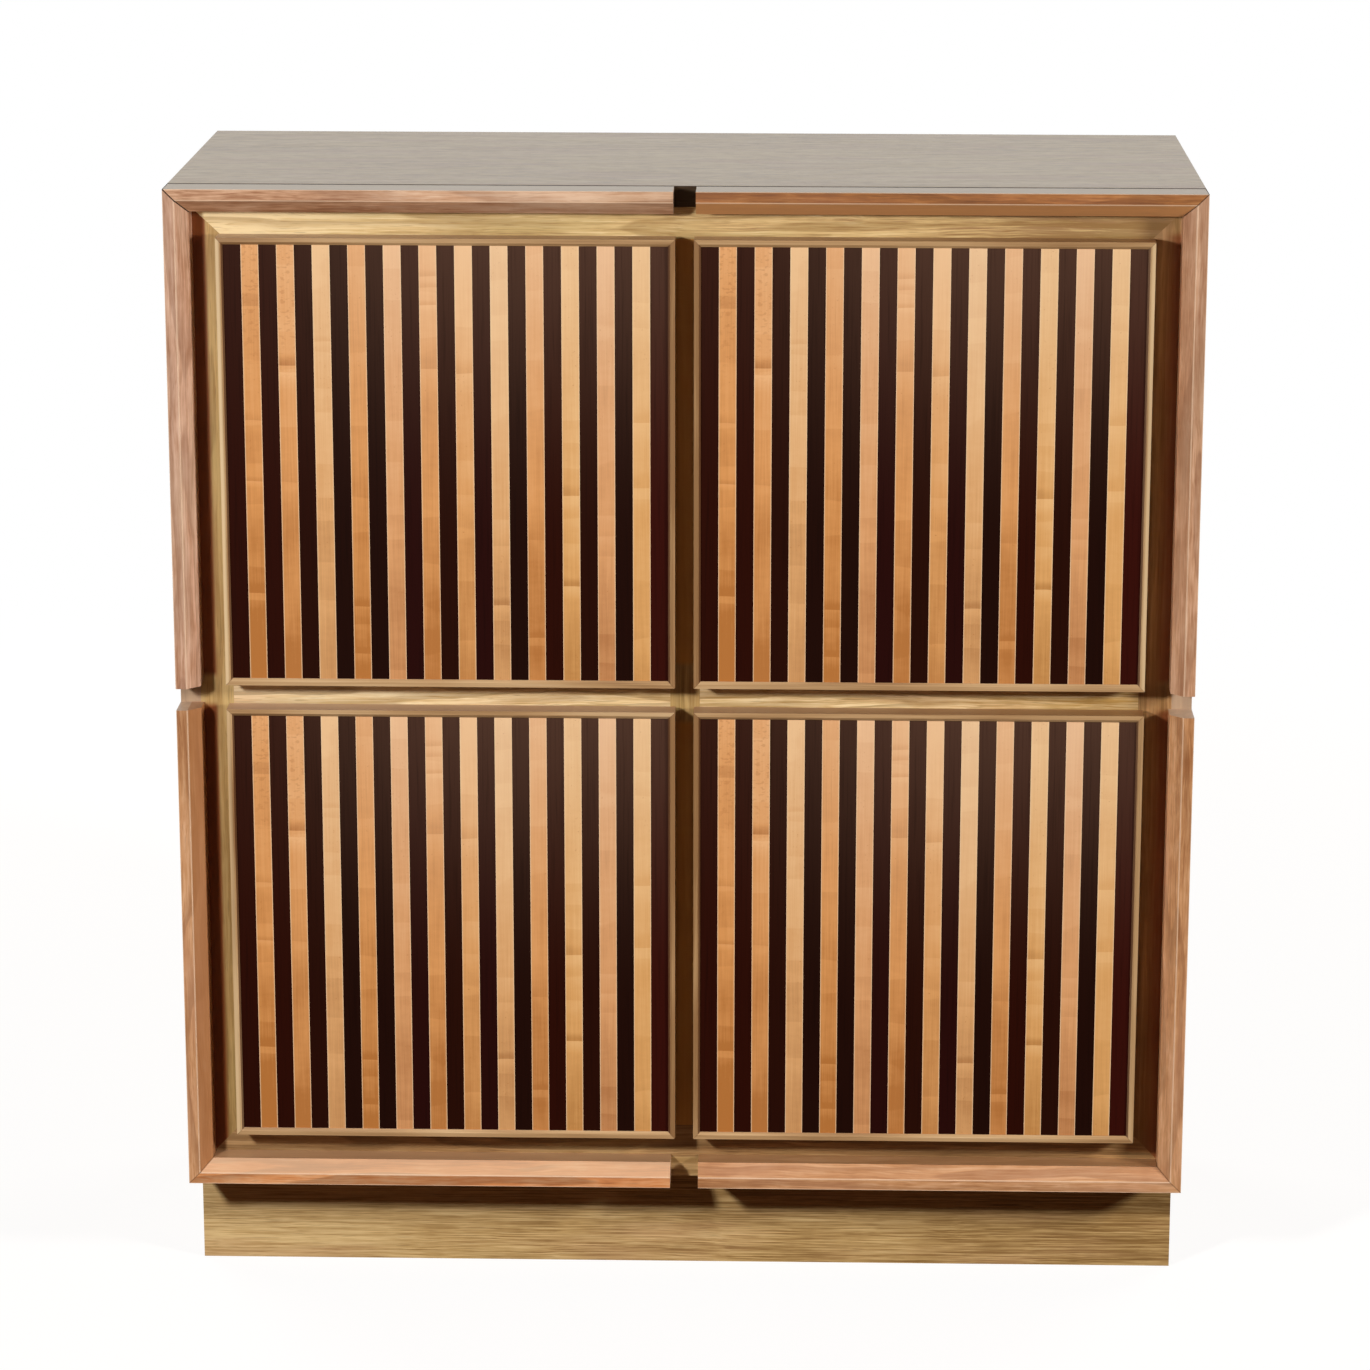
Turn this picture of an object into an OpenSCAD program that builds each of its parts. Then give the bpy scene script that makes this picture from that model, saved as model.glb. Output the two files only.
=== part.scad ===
// Four-door cabinet with striped doors, a mitred and notched front moulding, and a plinth.
// Millimetres. The origin is on the floor, below the middle of the cabinet. +X is to the right
// as seen from the front, +Y is to the back and +Z is up.

/* [Case] */
// Width over the side panels and the moulding
cabinet_w = 1100; // [900:10:1400]
// Depth from the front of the moulding to the rear edges of the panels
cabinet_d = 450; // [380:5:600]
// Height of the case above the plinth
case_h = 1113; // [900:1:1400]
// Thickness of the top, bottom and side panels
panel_t = 22; // [18:1:25]
// Thickness of the centre partition and the decks
divider_t = 20; // [18:1:25]
// Thickness of the back panel
back_t = 8; // [6:1:12]
// How far the back panel lies in from the rear edges
back_inset = 3; // [1:1:8]
// How far the rebate for the back panel cuts into the panels
back_rebate = 10; // [6:1:14]

/* [Plinth] */
// Height of the plinth
plinth_h = 115; // [60:5:160]
// Thickness of the plinth boards
plinth_t = 20; // [16:1:25]
// How far the plinth stands back from the front of the moulding
plinth_setback = 70; // [50:5:120]
// How far the plinth stands in from the sides and the rear
plinth_inset = 5; // [0:1:30]
// Width of the corner blocks behind the plinth boards
block_w = 40; // [25:1:60]
// How far the corner blocks end above the floor
block_lift = 10; // [5:1:30]

/* [Front moulding] */
// Width of a moulding member, seen from the front
moulding_w = 25.5; // [20:0.5:34]
// Depth of the moulding in front of the case
moulding_d = 38; // [34:1:50]
// Width of the flat outer strip on its front
moulding_flat = 12; // [6:0.5:16]
// How far back the bevel inside that strip runs
moulding_bevel = 13; // [6:1:20]
// Width of the notch in the middle of the top
top_notch = 24; // [12:1:40]
// Width of the notches in the middle of the sides
side_notch = 24; // [12:1:40]
// Width of the notch in the middle of the bottom
bottom_notch = 31; // [12:1:50]

/* [Face frame] */
// Thickness of the stiles and rails
frame_t = 22; // [18:1:28]
// How far the doors cover the outer stiles and rails
outer_overlay = 4; // [3:0.5:6]
// How far the doors cover the centre stile and the mid rails
inner_overlay = 6; // [5.5:0.5:9]

/* [Doors] */
// Distance from the side of the cabinet to a door
side_inset = 54; // [50:1:70]
// Distance from the top of the cabinet to an upper door
top_inset = 52; // [48:1:70]
// Distance from the bottom of the case to a lower door
bottom_inset = 56; // [48:1:70]
// Width of the upright channel between left and right doors
upright_channel = 20; // [12:1:30]
// Width of the level channel between upper and lower doors
level_channel = 27; // [15:1:40]
// Thickness of a door at its lipping
door_t = 28.5; // [26:0.5:31]
// Gap between a closed door and the face frame
door_gap = 4.5; // [4.5:0.5:6]
// Width of the lipping round a door
lipping_w = 7.5; // [6:0.5:12]
// Width of the flat strip on the front of the lipping
lipping_flat = 4.5; // [2:0.5:5.5]
// How far back the bevel inside that strip runs
lipping_bevel = 2.5; // [1:0.5:3]
// Radius of the lipping's rounded rear edge
lipping_round = 3; // [2:0.5:4]
// How far the staves lie behind the front of the lipping
stave_recess = 3.5; // [3:0.5:6]
// Thickness of the staves
stave_t = 6; // [3:0.5:8]
// Number of staves on a door, dark at both ends
stave_count = 25; // [15:2:35]
// Diameter of the door bumpers
bumper_d = 5; // [4:0.5:5]
// Distance of a bumper from the door's top or bottom edge
bumper_inset = 40; // [20:5:90]

/* [Shelves] */
// Thickness of the adjustable shelves
shelf_t = 18; // [12:1:25]
// How far a shelf stands back from the face frame
shelf_setback = 15; // [5:1:60]
// Gap at the ends and the back of a shelf
shelf_play = 1; // [0.5:0.5:2]
// Diameter of the shelf pins
shelf_pin_d = 5; // [4:0.5:6]
// How far a shelf pin stands out of its panel
shelf_pin_out = 10; // [6:1:14]
// How far a shelf pin goes into its panel
shelf_pin_in = 8; // [6:0.5:8]
// Distance of the pins from the shelf's front and back edges
shelf_pin_inset = 50; // [30:5:90]
// Height from one row of pin holes to the next
pin_row_step = 64; // [32:16:96]
// Rows of pin holes above and below the row in use
pin_rows_beside = 1; // [0:1:2]

/* [Hinges] */
// Distance of the hinges from the door's top and bottom edges
hinge_inset = 90; // [70:5:150]
// Distance of the hinge axis from the door's outer edge
axis_from_edge = 10; // [9:0.5:11]
// Distance of the hinge axis from the door's back
axis_from_back = 8; // [7:0.5:9]
// Diameter of the cup let into the door
cup_d = 35; // [34:0.5:37]
// Depth of the cup
cup_depth = 13; // [12.5:0.5:14]
// Distance of the cup from the door's outer edge
cup_from_edge = 4; // [3.5:0.5:5]
// Thickness of the cup's flange
flange_t = 1.2; // [0.8:0.1:1.6]
// Width of the flange round the cup
flange_rim = 1; // [0.5:0.5:1.5]
// Height of the flange with its two ears
flange_h = 62; // [58:1:66]
// Width of an ear
ear_w = 12; // [10:1:16]
// Distance between the two cup screws
cup_screw_spacing = 48; // [46:1:50]
// Height of the hinge arm
arm_h = 11; // [9:1:12]
// Thickness of the hinge arm
arm_t = 2.5; // [2:0.5:3]
// Diameter of the arm's knuckle
knuckle_d = 6.4; // [6:0.2:7]
// Diameter of the hinge pin
hinge_pin_d = 3.5; // [3:0.5:4]
// How far the hinge pin goes into the cup's wall at each end
hinge_pin_seat = 3; // [2:0.5:3.5]
// Thickness of the hinge plate's foot on the stile
plate_t = 3; // [2.5:0.5:4]
// Height of the hinge plate's foot
plate_h = 48; // [44:1:60]
// Height of the hinge plate's boss
boss_h = 16; // [13:1:18]
// Diameter of the screws' shanks
screw_d = 3.5; // [3:0.5:4]
// Length of the screws that hold the hinge plates
plate_screw_len = 16; // [12:1:20]
// Length of the screws that hold the cups and the arms
short_screw_len = 9; // [7:1:10]
// Height of a screw's countersunk head
head_h = 2; // [1.5:0.5:2]

/* [Clearances] */
// Width of the glue line between two lipping bars
glue_line = 0.1; // [0.05:0.05:0.2]
// Gap round the back panel in its rebate
back_play = 0.5; // [0.2:0.1:1]
// Gap round a shelf pin in its hole
shelf_pin_fit = 0.05; // [0.02:0.01:0.1]
// Gap round a cup in its bore
cup_fit = 0.2; // [0.1:0.05:0.3]
// Gap round the hinge pin in the cup, where it turns
hinge_run_fit = 0.05; // [0.02:0.01:0.1]
// Gap round the hinge pin in the knuckle, where it is fixed
hinge_seat_fit = 0.02; // [0.01:0.01:0.04]
// Gap at each end of the hinge pin
hinge_end_play = 0.2; // [0.1:0.1:0.4]
// Gap round the arm in the cup's pocket
arm_play = 0.5; // [0.4:0.1:0.8]
// Gap between the open door's back and the arm
leg_clearance = 2; // [1.5:0.5:3]
// Gap from a hinge plate to the front and the back of its stile
plate_margin = 1.5; // [1:0.5:3]
// Gap round a screw in its hole
screw_fit = 0.05; // [0.02:0.01:0.1]
// Gap between a shelf and the pins that carry it
shelf_seat = 0.1; // [0.05:0.05:0.2]
// Gap between a closed door and its bumpers
bumper_play = 0.3; // [0.2:0.1:0.5]

/* [Hidden] */
// How far a cutting shape runs past the face that it cuts
over = 1;
// Steps round the large and small round parts
round_fn = 48;
small_fn = 20;

// Planes of the case
front_y = -cabinet_d / 2;
case_front_y = front_y + moulding_d;
frame_back_y = case_front_y + frame_t;
rear_y = cabinet_d / 2;
back_front_y = rear_y - back_inset - back_t;
case_d = rear_y - case_front_y;
inside_x = cabinet_w / 2 - panel_t;
top_z = plinth_h + case_h;
inside_top_z = top_z - panel_t;
inside_bottom_z = plinth_h + panel_t;

// Doors and the channels between them
door_w = (cabinet_w - 2 * side_inset - upright_channel) / 2;
door_h = (case_h - top_inset - bottom_inset - level_channel) / 2;
door_z = [plinth_h + bottom_inset, plinth_h + bottom_inset + door_h + level_channel];
door_back_y = case_front_y - door_gap;
door_front_y = door_back_y - door_t;
channel_z = door_z[1] - level_channel / 2;
field_w = door_w - 2 * lipping_w;
field_h = door_h - 2 * lipping_w;
stave_w = field_w / stave_count;
core_front = stave_recess + stave_t;

// Face frame
stile_w = side_inset + outer_overlay - panel_t;
top_rail_h = top_inset + outer_overlay - panel_t;
bottom_rail_h = bottom_inset + outer_overlay - panel_t;
centre_stile_w = upright_channel + 2 * inner_overlay;
mid_rail_h = level_channel + 2 * inner_overlay;
mid_rail_len = inside_x - stile_w - centre_stile_w / 2;

// Compartments: the lowest and highest z of the lower and the upper one
room_low_z = [inside_bottom_z, channel_z + divider_t / 2];
room_high_z = [channel_z - divider_t / 2, inside_top_z];
room_w = inside_x - divider_t / 2;
shelf_front_y = frame_back_y + shelf_setback;
shelf_d = back_front_y - shelf_play - shelf_front_y;
shelf_pin_y = [shelf_front_y + shelf_pin_inset, shelf_front_y + shelf_d - shelf_pin_inset];

// Hinge, seen from its axis: +X runs into the opening and +Y to the back
cup_x = cup_from_edge + cup_d / 2 - axis_from_edge;
leg_x = axis_from_back + leg_clearance;
stile_edge_x = outer_overlay - axis_from_edge;
plate_front = axis_from_back + door_gap + plate_margin;
plate_d = frame_t - 2 * plate_margin;
plate_mid = plate_front + plate_d / 2;
pocket_edge = knuckle_d / 2 + arm_play;
pocket_in = norm([leg_x + arm_t, arm_t / 2]) + arm_play;
hinge_pin_len = arm_h + 2 * arm_play + 2 * hinge_pin_seat;
plate_screw_z = (plate_h + boss_h) / 4;
hinge_z = [hinge_inset, door_h - hinge_inset];

// The doors and compartments: name, column (0 left, 1 right) and row (0 lower, 1 upper)
places = [
    ["upper_left", 0, 1],
    ["upper_right", 1, 1],
    ["lower_left", 0, 0],
    ["lower_right", 1, 0]
];
case_nodes = [
    "top_panel", "bottom_panel", "left_side_panel", "right_side_panel", "back_panel",
    "centre_partition", "left_deck", "right_deck"
];
frame_nodes = [
    "left_stile", "right_stile", "centre_stile", "top_rail", "bottom_rail",
    "left_mid_rail", "right_mid_rail"
];
moulding_nodes = [
    "top_left_moulding", "top_right_moulding", "bottom_left_moulding", "bottom_right_moulding",
    "upper_left_moulding", "upper_right_moulding", "lower_left_moulding", "lower_right_moulding"
];
plinth_nodes = ["plinth_front", "plinth_back", "plinth_left", "plinth_right", "plinth_blocks"];
fitting_nodes = [
    "shelf_pins", "hinge_arms", "hinge_plates", "hinge_pins", "hinge_screws", "door_bumpers"
];
door_parts = ["core", "lipping", "dark_staves", "light_staves", "hinge_cups"];

// Colours of the timbers and fittings
oak = [0.74, 0.62, 0.42];
walnut = [0.75, 0.54, 0.42];
top_lacquer = [0.69, 0.65, 0.56];
rosewood = [0.2, 0.1, 0.07];
maple = [0.88, 0.66, 0.4];
inner_oak = [0.78, 0.68, 0.5];
steel = [0.72, 0.72, 0.74];

// Placing

// Draws its children for the left (0) or the right (1) column
module in_column(column) {
    mirror([column, 0, 0]) children();
}

// Moves to a corner of the case's front; the children lie right of and below the top left one
module at_corner(column, row) {
    in_column(column)
        translate([-cabinet_w / 2, case_front_y, row == 1 ? top_z : plinth_h])
            mirror([0, 0, 1 - row])
                children();
}

// Turns a bar that runs to the right into one that runs down
module upright() {
    mirror([1, 0, 1]) children();
}

// Moves to a door's lower outer corner on its front
module at_door(column, row) {
    in_column(column)
        translate([side_inset - cabinet_w / 2, door_front_y, door_z[row]])
            children();
}

// Moves to the axis of each hinge of a door, in that door's own place
module at_door_axes() {
    for (z = hinge_z)
        translate([axis_from_edge, door_t - axis_from_back, z])
            children();
}

// Moves to the axis of every hinge on one side of the cabinet
module at_column_axes(column) {
    for (row = [0, 1])
        at_door(column, row) at_door_axes() children();
}

module at_all_axes() {
    for (column = [0, 1])
        at_column_axes(column) children();
}

// Bars, screws and holes

// A bar that runs along +X from an outer corner at the origin and reaches down to -w. Its child is
// the cross-section, with depth along x. Each end is cut on the slant by its run. The outline that
// cuts it reaches past both long edges by the bar's width.
module mitred_bar(len, w, d, start_run, end_run) {
    intersection() {
        rotate([90, 0, 90]) linear_extrude(len) children();
        translate([0, d + over, 0]) rotate([90, 0, 0]) linear_extrude(d + 2 * over)
            polygon([
                [-start_run, w], [len + end_run, w],
                [len - 2 * end_run, -2 * w], [2 * start_run, -2 * w]
            ]);
    }
}

// A screw that points down from its countersunk head at the origin
module screw(len) {
    translate([0, 0, -head_h]) cylinder(d1 = screw_d, d2 = 2 * screw_d, h = head_h, $fn = small_fn);
    translate([0, 0, -len]) cylinder(d = screw_d, h = len - head_h, $fn = small_fn);
}

module screw_hole(len) {
    hole_d = screw_d + 2 * screw_fit;
    sink_d = 2 * screw_d + 2 * screw_fit;
    translate([0, 0, -head_h]) cylinder(d1 = hole_d, d2 = sink_d, h = head_h, $fn = small_fn);
    translate([0, 0, -len - screw_fit]) cylinder(d = hole_d, h = len, $fn = small_fn);
    cylinder(d = sink_d, h = over, $fn = small_fn);
}

// Places for the screws of a hinge, pointing away from their heads
module at_plate_screws() {
    for (z = [-plate_screw_z, plate_screw_z])
        translate([stile_edge_x + plate_t, plate_mid, z]) rotate([0, 90, 0]) children();
}

module at_arm_screw() {
    translate([leg_x + arm_t, plate_mid, 0]) rotate([0, 90, 0]) children();
}

module at_cup_screws() {
    for (z = [-cup_screw_spacing / 2, cup_screw_spacing / 2])
        translate([cup_x + ear_w / 2, axis_from_back + flange_t, z]) rotate([-90, 0, 0]) children();
}

// Case

// One of the four mitred panels, with the rebate for the back panel along its rear edge
module case_panel(len) {
    rebate_y = back_front_y - case_front_y;
    rebate_z = back_rebate - panel_t;
    mitred_bar(len, panel_t, case_d, panel_t, panel_t)
        polygon([
            [0, 0], [case_d, 0], [case_d, rebate_z],
            [rebate_y, rebate_z], [rebate_y, -panel_t], [0, -panel_t]
        ]);
}

module top_panel() {
    color(top_lacquer) at_corner(0, 1) case_panel(cabinet_w);
}

module bottom_panel() {
    color(oak) at_corner(0, 0) case_panel(cabinet_w);
}

// The middle height of the shelf pins in a row of compartments
function shelf_pin_z(row) =
    (room_low_z[row] + room_high_z[row] - shelf_t - shelf_pin_d) / 2 - shelf_seat;

// Blind holes in one panel face at x, open towards +X
module pin_holes(x) {
    for (row = [0, 1], y = shelf_pin_y, step = [-pin_rows_beside:pin_rows_beside])
        translate([x - shelf_pin_in, y, shelf_pin_z(row) + step * pin_row_step])
            rotate([0, 90, 0])
                cylinder(d = shelf_pin_d + 2 * shelf_pin_fit, h = shelf_pin_in + over, $fn = small_fn);
}

module side_panel(column) {
    color(oak) difference() {
        at_corner(column, 1) upright() case_panel(case_h);
        in_column(column) pin_holes(-inside_x);
    }
}

module back_panel() {
    reach = back_rebate - back_play;
    color(inner_oak)
        translate([-inside_x - reach, back_front_y, inside_bottom_z - reach])
            cube([2 * (inside_x + reach), back_t, inside_top_z - inside_bottom_z + 2 * reach]);
}

module centre_partition() {
    color(inner_oak) difference() {
        translate([-divider_t / 2, frame_back_y, inside_bottom_z])
            cube([divider_t, back_front_y - frame_back_y, inside_top_z - inside_bottom_z]);
        for (column = [0, 1])
            in_column(column) pin_holes(divider_t / 2);
    }
}

module deck(column) {
    color(inner_oak) in_column(column)
        translate([-inside_x, frame_back_y, room_high_z[0]])
            cube([room_w, back_front_y - frame_back_y, divider_t]);
}

// Face frame, with slanted joints at its four corners

module frame_bar(len, w, start_run, end_run) {
    mitred_bar(len, w, frame_t, start_run, end_run)
        translate([0, -w]) square([frame_t, w]);
}

module stile(column) {
    color(oak) difference() {
        at_corner(column, 1) translate([panel_t, 0, -panel_t]) upright()
            frame_bar(case_h - 2 * panel_t, stile_w, top_rail_h, bottom_rail_h);
        at_column_axes(column) at_plate_screws() screw_hole(plate_screw_len);
    }
}

module outer_rail(row, h) {
    color(oak) at_corner(0, row) translate([panel_t, 0, -panel_t])
        frame_bar(cabinet_w - 2 * panel_t, h, stile_w, stile_w);
}

module centre_stile() {
    low_z = inside_bottom_z + bottom_rail_h;
    color(oak) translate([-centre_stile_w / 2, case_front_y, low_z])
        cube([centre_stile_w, frame_t, inside_top_z - top_rail_h - low_z]);
}

module mid_rail(column) {
    color(oak) in_column(column)
        translate([stile_w - inside_x, case_front_y, channel_z - mid_rail_h / 2])
            cube([mid_rail_len, frame_t, mid_rail_h]);
}

// Front moulding: two bevelled members meet on the slant at each corner

module moulding_member(len) {
    translate([0, -moulding_d, 0])
        mitred_bar(len, moulding_w, moulding_d, moulding_w, 0)
            polygon([
                [0, 0], [moulding_d, 0], [moulding_d, -moulding_w],
                [moulding_bevel, -moulding_w], [0, -moulding_flat]
            ]);
}

module level_moulding(column, row) {
    notch = row == 1 ? top_notch : bottom_notch;
    color(walnut) at_corner(column, row) moulding_member((cabinet_w - notch) / 2);
}

module upright_moulding(column, row) {
    color(walnut) at_corner(column, row) upright() moulding_member((case_h - side_notch) / 2);
}

// Plinth

plinth_w = cabinet_w - 2 * plinth_inset;
plinth_front_y = front_y + plinth_setback;
plinth_rear_y = rear_y - plinth_inset;
plinth_side_d = plinth_rear_y - plinth_front_y - 2 * plinth_t;

module plinth_board(y) {
    color(oak) translate([-plinth_w / 2, y, 0]) cube([plinth_w, plinth_t, plinth_h]);
}

module plinth_side(column) {
    color(oak) in_column(column)
        translate([-plinth_w / 2, plinth_front_y + plinth_t, 0])
            cube([plinth_t, plinth_side_d, plinth_h]);
}

module plinth_blocks() {
    block_y = [plinth_front_y + plinth_t, plinth_rear_y - plinth_t - block_w];
    color(inner_oak)
        for (column = [0, 1], y = block_y)
            in_column(column)
                translate([plinth_t - plinth_w / 2, y, block_lift])
                    cube([block_w, block_w, plinth_h - block_lift]);
}

// Shelves

module shelf(column, row) {
    shelf_z = shelf_pin_z(row) + shelf_pin_d / 2 + shelf_seat;
    color(inner_oak) in_column(column)
        translate([shelf_play - inside_x, shelf_front_y, shelf_z])
            cube([room_w - 2 * shelf_play, shelf_d, shelf_t]);
}

module shelf_pins() {
    pin_len = shelf_pin_in + shelf_pin_out;
    pin_x = [-inside_x - shelf_pin_in, -divider_t / 2 - shelf_pin_out];
    color(steel)
        for (column = [0, 1], row = [0, 1], x = pin_x, y = shelf_pin_y)
            in_column(column)
                translate([x, y, shelf_pin_z(row)]) rotate([0, 90, 0])
                    cylinder(d = shelf_pin_d, h = pin_len, $fn = small_fn);
}

// Doors: a core behind a field of upright staves, with a mitred lipping round both

module lipping_bar(len) {
    translate([glue_line / 2, 0, 0])
        mitred_bar(len - glue_line, lipping_w, door_t, lipping_w, lipping_w) difference() {
            polygon([
                [0, 0], [door_t, 0], [door_t, -lipping_w],
                [lipping_bevel, -lipping_w], [0, -lipping_flat]
            ]);
            translate([door_t - lipping_round, -lipping_round])
                difference() {
                    square(lipping_round + over);
                    circle(r = lipping_round, $fn = round_fn);
                }
        }
}

module cup_bores() {
    bore_depth = cup_depth + cup_fit;
    at_door_axes() {
        translate([cup_x, axis_from_back - bore_depth, 0]) rotate([-90, 0, 0])
            cylinder(d = cup_d + 2 * cup_fit, h = bore_depth + over, $fn = round_fn);
        at_cup_screws() screw_hole(short_screw_len);
    }
}

module core(column, row) {
    color(inner_oak) at_door(column, row) difference() {
        translate([lipping_w, core_front, lipping_w]) cube([field_w, door_t - core_front, field_h]);
        cup_bores();
    }
}

module lipping(column, row) {
    color(oak) at_door(column, row) difference() {
        union() {
            translate([0, 0, door_h]) lipping_bar(door_w);
            mirror([0, 0, 1]) lipping_bar(door_w);
            translate([0, 0, door_h]) upright() lipping_bar(door_h);
            translate([door_w, 0, door_h]) mirror([1, 0, 0]) upright() lipping_bar(door_h);
        }
        cup_bores();
    }
}

module staves(column, row, first) {
    at_door(column, row)
        for (i = [first:2:stave_count - 1])
            translate([lipping_w + i * stave_w, stave_recess, lipping_w])
                cube([stave_w, stave_t, field_h]);
}

module dark_staves(column, row) {
    color(rosewood) staves(column, row, 0);
}

module light_staves(column, row) {
    color(maple) staves(column, row, 1);
}

// Hinges: a cup in the door turns on a pin that the fixed arm's knuckle holds

module arm_pocket() {
    depth = pocket_edge + axis_from_back + flange_t + over;
    h = arm_h + 2 * arm_play;
    translate([-pocket_edge, -pocket_edge, -h / 2]) cube([pocket_edge + pocket_in, depth, h]);
}

module hinge_cup() {
    bore_len = hinge_pin_len + 2 * hinge_end_play;
    difference() {
        union() {
            translate([cup_x, axis_from_back - cup_depth, 0]) rotate([-90, 0, 0])
                cylinder(d = cup_d, h = cup_depth + flange_t, $fn = round_fn);
            translate([cup_x, axis_from_back + flange_t, 0]) rotate([90, 0, 0])
                linear_extrude(flange_t) {
                    circle(d = cup_d + 2 * flange_rim, $fn = round_fn);
                    translate([0, -flange_h / 2]) square([ear_w, flange_h]);
                }
        }
        arm_pocket();
        cylinder(d = hinge_pin_d + 2 * hinge_run_fit, h = bore_len, center = true, $fn = round_fn);
        at_cup_screws() screw_hole(short_screw_len);
    }
}

module hinge_cups(column, row) {
    color(steel) at_door(column, row) at_door_axes() {
        hinge_cup();
        at_cup_screws() screw(short_screw_len);
    }
}

module hinge_arm() {
    difference() {
        union() {
            cylinder(d = knuckle_d, h = arm_h, center = true, $fn = round_fn);
            translate([0, -arm_t / 2, -arm_h / 2]) cube([leg_x + arm_t, arm_t, arm_h]);
            translate([leg_x, -arm_t / 2, -arm_h / 2])
                cube([arm_t, arm_t / 2 + plate_front + plate_d, arm_h]);
        }
        cylinder(d = hinge_pin_d + 2 * hinge_seat_fit, h = arm_h + over, center = true, $fn = round_fn);
        at_arm_screw() screw_hole(short_screw_len);
    }
}

module hinge_plate() {
    difference() {
        union() {
            translate([stile_edge_x, plate_front, -plate_h / 2]) cube([plate_t, plate_d, plate_h]);
            translate([stile_edge_x, plate_front, -boss_h / 2])
                cube([leg_x - stile_edge_x, plate_d, boss_h]);
        }
        at_plate_screws() screw_hole(plate_screw_len);
        at_arm_screw() screw_hole(short_screw_len);
    }
}

module hinge_arms() {
    color(steel) at_all_axes() hinge_arm();
}

module hinge_plates() {
    color(steel) at_all_axes() hinge_plate();
}

module hinge_pins() {
    color(steel) at_all_axes()
        cylinder(d = hinge_pin_d, h = hinge_pin_len, center = true, $fn = round_fn);
}

module hinge_screws() {
    color(steel) at_all_axes() {
        at_plate_screws() screw(plate_screw_len);
        at_arm_screw() screw(short_screw_len);
    }
}

// Small round pads on the centre stile that the closed doors rest against
module door_bumpers() {
    bumper_x = upright_channel / 2 + inner_overlay / 2;
    color("white")
        for (column = [0, 1], row = [0, 1], z = [bumper_inset, door_h - bumper_inset])
            in_column(column)
                translate([-bumper_x, case_front_y, door_z[row] + z]) rotate([90, 0, 0])
                    cylinder(d = bumper_d, h = door_gap - bumper_play, $fn = small_fn);
}

top_panel();
bottom_panel();
side_panel(0);  // left_side_panel
side_panel(1);  // right_side_panel
back_panel();
centre_partition();
deck(0);  // left_deck
deck(1);  // right_deck
stile(0);  // left_stile
stile(1);  // right_stile
centre_stile();
outer_rail(1, top_rail_h);  // top_rail
outer_rail(0, bottom_rail_h);  // bottom_rail
mid_rail(0);  // left_mid_rail
mid_rail(1);  // right_mid_rail
level_moulding(0, 1);  // top_left_moulding
level_moulding(1, 1);  // top_right_moulding
level_moulding(0, 0);  // bottom_left_moulding
level_moulding(1, 0);  // bottom_right_moulding
upright_moulding(0, 1);  // upper_left_moulding
upright_moulding(1, 1);  // upper_right_moulding
upright_moulding(0, 0);  // lower_left_moulding
upright_moulding(1, 0);  // lower_right_moulding
plinth_board(plinth_front_y);  // plinth_front
plinth_board(plinth_rear_y - plinth_t);  // plinth_back
plinth_side(0);  // plinth_left
plinth_side(1);  // plinth_right
plinth_blocks();
shelf_pins();
hinge_arms();
hinge_plates();
hinge_pins();
hinge_screws();
door_bumpers();
for (p = places) {
    shelf(p[1], p[2]);
    core(p[1], p[2]);
    lipping(p[1], p[2]);
    dark_staves(p[1], p[2]);
    light_staves(p[1], p[2]);
    hinge_cups(p[1], p[2]);
}
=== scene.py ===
import math
import bpy
from mathutils import Matrix, Vector


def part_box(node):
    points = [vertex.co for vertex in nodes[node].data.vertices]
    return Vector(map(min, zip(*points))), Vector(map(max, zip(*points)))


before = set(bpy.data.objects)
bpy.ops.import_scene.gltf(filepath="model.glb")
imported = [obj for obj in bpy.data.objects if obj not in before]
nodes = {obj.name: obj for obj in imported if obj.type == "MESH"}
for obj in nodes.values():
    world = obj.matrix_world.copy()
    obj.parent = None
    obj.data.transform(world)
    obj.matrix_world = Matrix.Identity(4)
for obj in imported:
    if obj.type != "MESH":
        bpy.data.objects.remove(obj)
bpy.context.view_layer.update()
print("frame loaded:", len(nodes), "pieces")


# Maths on node sockets, written as plain expressions
class Wire:
    def __init__(self, finish, socket):
        self.finish = finish
        self.socket = socket

    def __add__(self, other):
        return self.finish.take("ADD", self, other)

    def __radd__(self, other):
        return self.finish.take("ADD", other, self)

    def __sub__(self, other):
        return self.finish.take("SUBTRACT", self, other)

    def __rsub__(self, other):
        return self.finish.take("SUBTRACT", other, self)

    def __mul__(self, other):
        return self.finish.take("MULTIPLY", self, other)

    def __rmul__(self, other):
        return self.finish.take("MULTIPLY", other, self)

    def __truediv__(self, other):
        return self.finish.take("DIVIDE", self, other)

    def __rtruediv__(self, other):
        return self.finish.take("DIVIDE", other, self)

    def __gt__(self, other):
        return self.finish.take("GREATER_THAN", self, other)

    def __lt__(self, other):
        return self.finish.take("LESS_THAN", self, other)


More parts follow.
